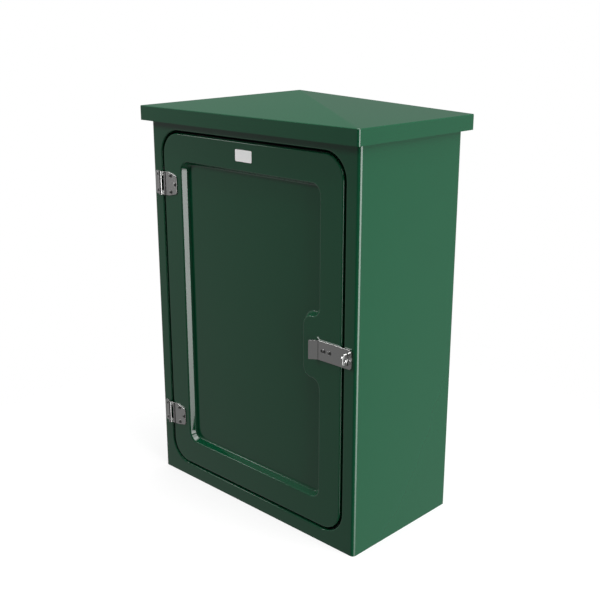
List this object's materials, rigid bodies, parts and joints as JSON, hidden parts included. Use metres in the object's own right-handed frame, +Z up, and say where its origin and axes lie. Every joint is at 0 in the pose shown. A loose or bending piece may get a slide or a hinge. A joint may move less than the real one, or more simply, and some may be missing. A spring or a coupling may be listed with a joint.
{
  "type": "roadside utility cabinet",
  "caption": "Upright moulded glass-fibre roadside cabinet with an overhanging pyramid roof and one hinged, sunk-panel door closed by a slotted strap over a turning padlock eye.",
  "frame": {"origin": "on the ground under the middle of the cabinet, at the bottom centre of its box", "axes": "+Z up, -Y out of the door, +X towards the hasp side"},
  "size_m": [0.629, 0.353, 0.901],
  "materials": {
    "green_gelcoat": "glossy dark green gelcoat",
    "stainless_steel": "polished stainless steel",
    "zinc_steel": "zinc plated",
    "black_rubber": "matt black",
    "foam_gasket": "matt closed-cell foam",
    "white_plate": "blank white plate",
    "nylon_bush": "black nylon",
    "plywood": "exterior plywood",
    "spacer_block": "turned hardwood, bonded"
  },
  "bodies": {
    "cabinet": {"body_shell": "green_gelcoat", "roof_canopy": "green_gelcoat", "roof_gasket": "foam_gasket", "door_seal": "black_rubber", "roof_studs": "zinc_steel", "roof_nuts": "zinc_steel", "upper_hinge_frame_leaf": "stainless_steel", "lower_hinge_frame_leaf": "stainless_steel", "upper_hinge_pin": "stainless_steel", "lower_hinge_pin": "stainless_steel", "frame_leaf_screws": "stainless_steel", "frame_leaf_nuts": "zinc_steel", "staple_bush": "nylon_bush", "backboard": "plywood", "backboard_spacers": "spacer_block", "backboard_screws": "zinc_steel"},
    "door": {"door_panel": "green_gelcoat", "label_plate": "white_plate", "upper_hinge_door_leaf": "stainless_steel", "lower_hinge_door_leaf": "stainless_steel", "door_leaf_screws": "stainless_steel", "door_leaf_nuts": "zinc_steel", "hasp_strap": "stainless_steel", "hasp_screws": "stainless_steel", "hasp_nuts": "zinc_steel"},
    "staple": {"staple_eye": "stainless_steel", "staple_washer": "zinc_steel", "staple_nut": "zinc_steel"}
  },
  "joints": [
    {"name": "door_hinge", "type": "hinge", "parent": "cabinet", "child": "door", "pos_m": [-0.2697, -0.162, 0.422], "axis": [0, 0, -1], "range_deg": [0, 170]},
    {"name": "staple_turn", "type": "hinge", "parent": "cabinet", "child": "staple", "pos_m": [0.2805, -0.156, 0.422], "axis": [0, 1, 0], "range_deg": [0, 90]}
  ]
}
